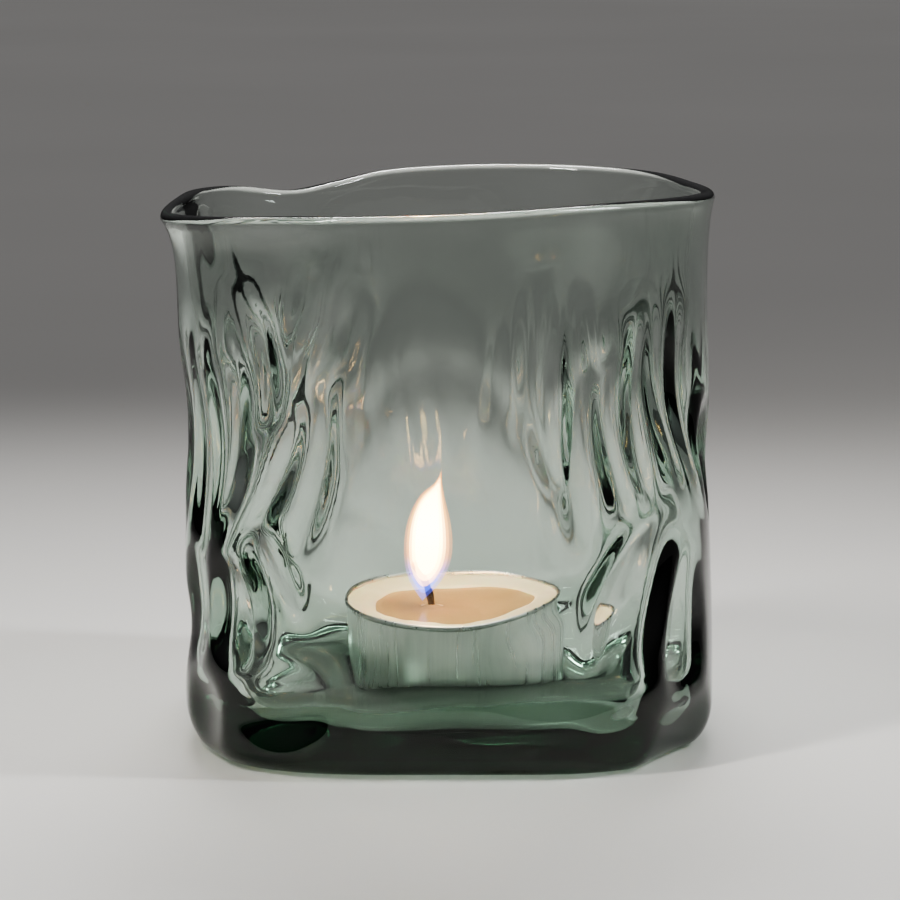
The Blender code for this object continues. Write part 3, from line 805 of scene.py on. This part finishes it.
def wax_disc():
    """Wax with a solid rim left standing round the hollow that the flame has melted."""
    angles = np.arange(WAX_SEGMENTS) * TAU / WAX_SEGMENTS
    side = CUP_RADIUS - CUP_WALL - WAX_GAP
    under = CUP_PANEL_RISE + CUP_WALL + 0.2 * MM
    low = CUP_FOOT_RISE + CUP_WALL + 1.4 * MM
    edge = pool_edge(angles)
    soft = 0.06 * MM * np.sin(9 * angles + 0.5) + 0.04 * MM * np.sin(23 * angles)
    bottom = WAX_TOP - POOL_DEPTH

    def at(radius, height):
        return wax_ring(angles, radius, height)

    rings = [
        at(0.3 * MM, under),
        at(CUP_PANEL_RADIUS, under),
        at(CUP_FOOT_RADIUS - 0.6 * MM, under),
        at(side - 0.6 * MM, CUP_FOOT_RISE + CUP_WALL + 0.5 * MM),
        at(side, low),
        at(side, 0.5 * (low + WAX_TOP)),
        at(side, WAX_TOP + 0.20 * MM),
        at(side - 0.08 * MM, WAX_TOP + 0.33 * MM + soft),
        at(side - 0.30 * MM, WAX_TOP + 0.28 * MM + soft),
        at(side - 0.80 * MM, WAX_TOP + 0.10 * MM + soft),
        at(side - 1.60 * MM, WAX_TOP + 0.02 * MM + soft),
        at(edge + 0.9 * MM, WAX_TOP + soft),
        at(edge + 0.3 * MM, WAX_TOP - 0.10 * MM + soft),
        at(edge, WAX_TOP - 0.28 * MM + 0.5 * soft),
        at(edge - 0.35 * MM, WAX_TOP - 0.62 * MM),
        at(edge - 0.9 * MM, WAX_TOP - 1.00 * MM),
        at(edge - 2.0 * MM, WAX_TOP - 1.32 * MM),
        at(0.6 * POOL_RADIUS, bottom + 0.05 * MM),
        at(0.3 * POOL_RADIUS, bottom),
        at(0.3 * MM, bottom),
    ]
    return from_rings(rings)


def pool_of_wax():
    """Melted wax. It creeps up at its shore and at the wick."""
    angles = np.arange(WAX_SEGMENTS) * TAU / WAX_SEGMENTS
    edge = pool_edge(angles)
    bottom = WAX_TOP - POOL_DEPTH - 0.03 * MM
    core = np.array((WICK_X, 0.0, 0.0))

    def at(radius, height):
        return wax_ring(angles, radius, height)

    rings = [
        at(0.3 * MM, bottom) + core,
        at(0.6 * POOL_RADIUS, bottom) + 0.3 * core,
        at(edge - 2.0 * MM, WAX_TOP - 1.36 * MM),
        at(edge - 0.9 * MM, WAX_TOP - 1.04 * MM),
        at(edge - 0.30 * MM, WAX_TOP - 0.62 * MM),
        at(edge - 0.02 * MM, WAX_TOP - 0.34 * MM),
        at(edge - 0.10 * MM, WAX_TOP - 0.335 * MM),
        at(edge - 0.45 * MM, POOL_LEVEL + 0.09 * MM),
        at(edge - 1.10 * MM, POOL_LEVEL + 0.02 * MM),
        at(edge - 2.20 * MM, POOL_LEVEL),
        at(0.5 * POOL_RADIUS, POOL_LEVEL) + 0.6 * core,
        at(2.4 * MM, POOL_LEVEL + 0.02 * MM) + core,
        at(1.4 * MM, POOL_LEVEL + 0.12 * MM) + core,
        at(WICK_RADIUS + 0.25 * MM, POOL_LEVEL + 0.42 * MM) + core,
        at(0.2 * MM, POOL_LEVEL + 0.50 * MM) + core,
    ]
    return from_rings(rings)


def wick_path(part):
    """Middle of the wick from the sustainer (0) to the burnt tip (1), and its thickness there."""
    wax = WAX_TOP - POOL_DEPTH
    if part < WICK_STRAIGHT:
        z = WICK_BOTTOM + (wax - WICK_BOTTOM) * part / WICK_STRAIGHT
        return np.array((0.0, 0.0, z)), 1.0
    free = (part - WICK_STRAIGHT) / (1.0 - WICK_STRAIGHT)
    x = -WICK_BEND * free**2
    y = 0.25 * MM * math.sin(4.0 * free)
    z = wax + WICK_RISE * (free - 0.12 * free**3)
    swell = 1.0 + 0.16 * math.exp(-(((free - 0.86) / 0.12) ** 2)) - 0.10 * free
    return np.array((x, y, z)), swell


def braided_wick():
    """A round braid: the strands cross as two sets of helices that rise and sink."""
    angles = np.arange(WICK_SEGMENTS) * TAU / WICK_SEGMENTS
    rings = []
    for step in range(WICK_STEPS + 1):
        part = step / WICK_STEPS
        place, swell = wick_path(part)
        ahead, _ = wick_path(min(part + 0.004, 1.0))
        behind, _ = wick_path(max(part - 0.004, 0.0))
        along = unit(ahead - behind)
        side = unit(np.cross(along, (0.0, 1.0, 0.0)))
        other = np.cross(along, side)
        twist = TAU * WICK_TURNS * part
        left = np.cos(WICK_STRANDS * angles + twist)
        right = np.cos(WICK_STRANDS * angles - twist)
        braid = np.maximum(left, right)
        close = 1.0
        if part >= WICK_CLOSE_FROM:
            close = 1.0 - 0.55 * (part - WICK_CLOSE_FROM) / WICK_CLOSE_SPAN
        radii = WICK_RADIUS * (0.86 + 0.12 * braid) * swell * close
        offsets = np.outer(radii * np.cos(angles), side) + np.outer(radii * np.sin(angles), other)
        rings.append(place + offsets + np.array(WICK_FOOT))
    return from_rings(rings)


FLAME_BASE = WAX_TOP + 0.5 * MM
FLAME_HEIGHT = 21.8 * MM
FLAME_RADIUS = 4.2 * MM
FLAME_FULLNESS = 1.22  # scales the outline's curve, which peaks at 0.7
FLAME_X = -1.5 * MM  # over the leaning wick
FLAME_SWAY = 2.8 * MM  # the top drifts to the right
FLAME_WAVER = 0.35 * MM
FLAME_SEGMENTS = 48
FLAME_STEPS = 56


def flame_half_width(share):
    """The flame's outline: fullest two fifths of the way up, then drawn out to a point."""
    belly = (1.0 - (1.0 - share) ** 2.6) ** 0.60
    point = 1.0 - share**2.0
    return FLAME_RADIUS * FLAME_FULLNESS * belly * point


def flame_shell(width, low, high):
    """A closed drop inside the flame's outline, between two shares of the flame's height."""
    angles = np.arange(FLAME_SEGMENTS) * TAU / FLAME_SEGMENTS
    rings = []
    for step in range(FLAME_STEPS + 1):
        part = 0.5 - 0.5 * math.cos(math.pi * step / FLAME_STEPS)
        share = low + (high - low) * part
        ends = math.sqrt(max(1.0 - (2.0 * part - 1.0) ** 4, 0.0))
        radius = max(flame_half_width(share) * width * ends, 0.02 * MM)
        x = FLAME_X + FLAME_SWAY * share**1.7 + FLAME_WAVER * math.sin(TAU * share)
        z = FLAME_BASE + FLAME_HEIGHT * share
        radii = radius * (1.0 + 0.06 * np.cos(2.0 * angles + 0.8))
        rings.append(ring(angles, radii, z, x) + np.array(WICK_FOOT))
    return from_rings(rings)


cup = shown("foil_cup", foil_cup(), aluminium(), 60.0)
wax = shown("wax_disc", wax_disc(), paraffin())
pool = shown("melted_pool", pool_of_wax(), melted_wax())
wick_wax_z = CANDLE[2] + POOL_LEVEL
wick_tip_z = CANDLE[2] + wick_path(1.0)[0][2]
wick = shown("braided_wick", braided_wick(), cotton(wick_wax_z, wick_tip_z))
for piece, node, slot in (
    (cup, "tealight_cup", "aluminium"),
    (wax, "wax_fill", "paraffin_wax"),
    (wick, "wick", "charred_cotton"),
):
    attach(piece, "tealight")
    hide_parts(node)
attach(pool, "tealight")

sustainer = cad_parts["wick_sustainer"]
sustainer.data.materials.clear()
sustainer.data.materials.append(tinplate())

flame_z = CANDLE[2] + FLAME_BASE
flame_top = flame_z + FLAME_HEIGHT
GLOW = (
    (0.00, (1.00, 0.34, 0.06)),
    (0.30, (1.00, 0.56, 0.20)),
    (0.55, (1.00, 0.70, 0.34)),
    (1.00, (1.00, 0.50, 0.16)),
)
MANTLE = (
    (0.00, (0.04, 0.12, 1.00)),
    (0.16, (0.10, 0.16, 0.90)),
    (0.34, (0.80, 0.30, 0.12)),
    (0.60, (1.00, 0.42, 0.10)),
    (1.00, (1.00, 0.36, 0.06)),
)

# name, width, lowest and highest share of the flame, colours, strength, how much it covers
FLAME_SHELLS = (
    ("flame_core", 0.50, 0.20, 0.84, GLOW, 600.0, 1.00),
    ("flame_body", 0.64, 0.15, 0.89, GLOW, 30.0, 0.55),
    ("flame_halo", 0.76, 0.11, 0.93, GLOW, 14.0, 0.36),
    ("flame_veil", 0.88, 0.06, 0.97, MANTLE, 8.0, 0.22),
    ("flame_mantle", 1.00, 0.00, 1.00, MANTLE, 5.0, 0.13),
)
for name, width, low, high, colours, strength, cover in FLAME_SHELLS:
    look = flame_light(name, flame_z, flame_top, colours, strength, cover)
    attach(shown(name, flame_shell(width, low, high), look), "tealight")

# ---------------------------------------------------------------------------------------------
# Floor, light and camera
# ---------------------------------------------------------------------------------------------

FLOOR_RADIUS = 6.0
FLOOR_SEGMENTS = 96
FLOOR_GAP = 0.2 * MM  # air under the foot, so that light leaves the glass before it meets the floor


def floor():
    mesh = bmesh.new()
    bmesh.ops.create_circle(mesh, cap_ends=True, radius=FLOOR_RADIUS, segments=FLOOR_SEGMENTS)
    thing = shown("pale_floor", mesh, floor_material())
    thing.location.z = -FLOOR_GAP
    thing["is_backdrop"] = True


LIGHT_SPREAD = math.radians(45.0)  # lights the floor near the glass and leaves the distance dim
LIGHT_AIM = Vector((0.0, 0.0, 0.04))  # the point that the lights face

# name, place, width and height, watts, colour
LIGHTS = (
    ("key", (-0.38, -0.27, 0.60), (0.05, 0.34), 0.23, (1.0, 0.98, 0.95)),
    ("side", (0.50, -0.08, 0.50), (0.04, 0.34), 0.19, (0.96, 0.98, 1.0)),
    ("back", (0.0, 0.50, 0.70), (0.55, 0.10), 0.52, (1.0, 1.0, 1.0)),
)
SKY_AT_HORIZON = (0.05, 0.05, 0.05, 1.0)
SKY_OVERHEAD = (0.50, 0.50, 0.51, 1.0)
SKY_STRENGTH = 0.77


def softbox(name, place, size, power, colour):
    """A rectangular soft light that faces the glass."""
    light = bpy.data.lights.new(name, "AREA")
    light.shape = "RECTANGLE"
    light.size, light.size_y = size
    light.energy = power
    light.color = colour
    light.spread = LIGHT_SPREAD
    lamp = bpy.data.objects.new(name, light)
    bpy.context.scene.collection.objects.link(lamp)
    lamp.location = place
    aim = LIGHT_AIM - Vector(place)
    lamp.rotation_euler = aim.to_track_quat("-Z", "Y").to_euler()


def studio():
    """Dim soft surroundings, lighter overhead, with three soft lights."""
    world = bpy.data.worlds.new("studio")
    bpy.context.scene.world = world
    world.use_nodes = True
    tree = world.node_tree
    place = tree.nodes.new("ShaderNodeTexCoord")
    parts = tree.nodes.new("ShaderNodeSeparateXYZ")
    ramp = tree.nodes.new("ShaderNodeValToRGB")
    ramp.color_ramp.elements[0].position = 0.0
    ramp.color_ramp.elements[0].color = SKY_AT_HORIZON
    ramp.color_ramp.elements[1].position = 1.0
    ramp.color_ramp.elements[1].color = SKY_OVERHEAD
    tree.links.new(place.outputs["Generated"], parts.inputs["Vector"])
    tree.links.new(parts.outputs["Z"], ramp.inputs["Fac"])
    tree.links.new(ramp.outputs["Color"], tree.nodes["Background"].inputs["Color"])
    tree.nodes["Background"].inputs["Strength"].default_value = SKY_STRENGTH
    for light in LIGHTS:
        softbox(*light)


CAMERA_DISTANCE = 0.55  # from the glass's axis, along the floor
CAMERA_HEIGHT = 0.1412
CAMERA_PITCH = math.radians(10.0)
CAMERA_LENS = 137.3
CAMERA_SENSOR = 36.0
CAMERA_SHIFT = 0.0098  # the glass stands a little left of the picture's middle


def camera():
    lens = bpy.data.cameras.new("camera")
    lens.sensor_width = CAMERA_SENSOR
    lens.lens = CAMERA_LENS
    lens.shift_x = CAMERA_SHIFT
    eye = bpy.data.objects.new("camera", lens)
    bpy.context.scene.collection.objects.link(eye)
    eye.location = (0.0, -CAMERA_DISTANCE, CAMERA_HEIGHT)
    eye.rotation_euler = (0.5 * math.pi - CAMERA_PITCH, 0.0, 0.0)
    bpy.context.scene.camera = eye


LIGHT_BOUNCES = 24  # enough for light that crosses the glass's two walls several times

floor()
studio()
camera()
bpy.context.scene.view_settings.look = "AgX - Medium High Contrast"
cycles = bpy.context.scene.cycles
cycles.use_denoising = True
cycles.max_bounces = LIGHT_BOUNCES
cycles.transmission_bounces = LIGHT_BOUNCES
cycles.transparent_max_bounces = LIGHT_BOUNCES

low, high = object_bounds()
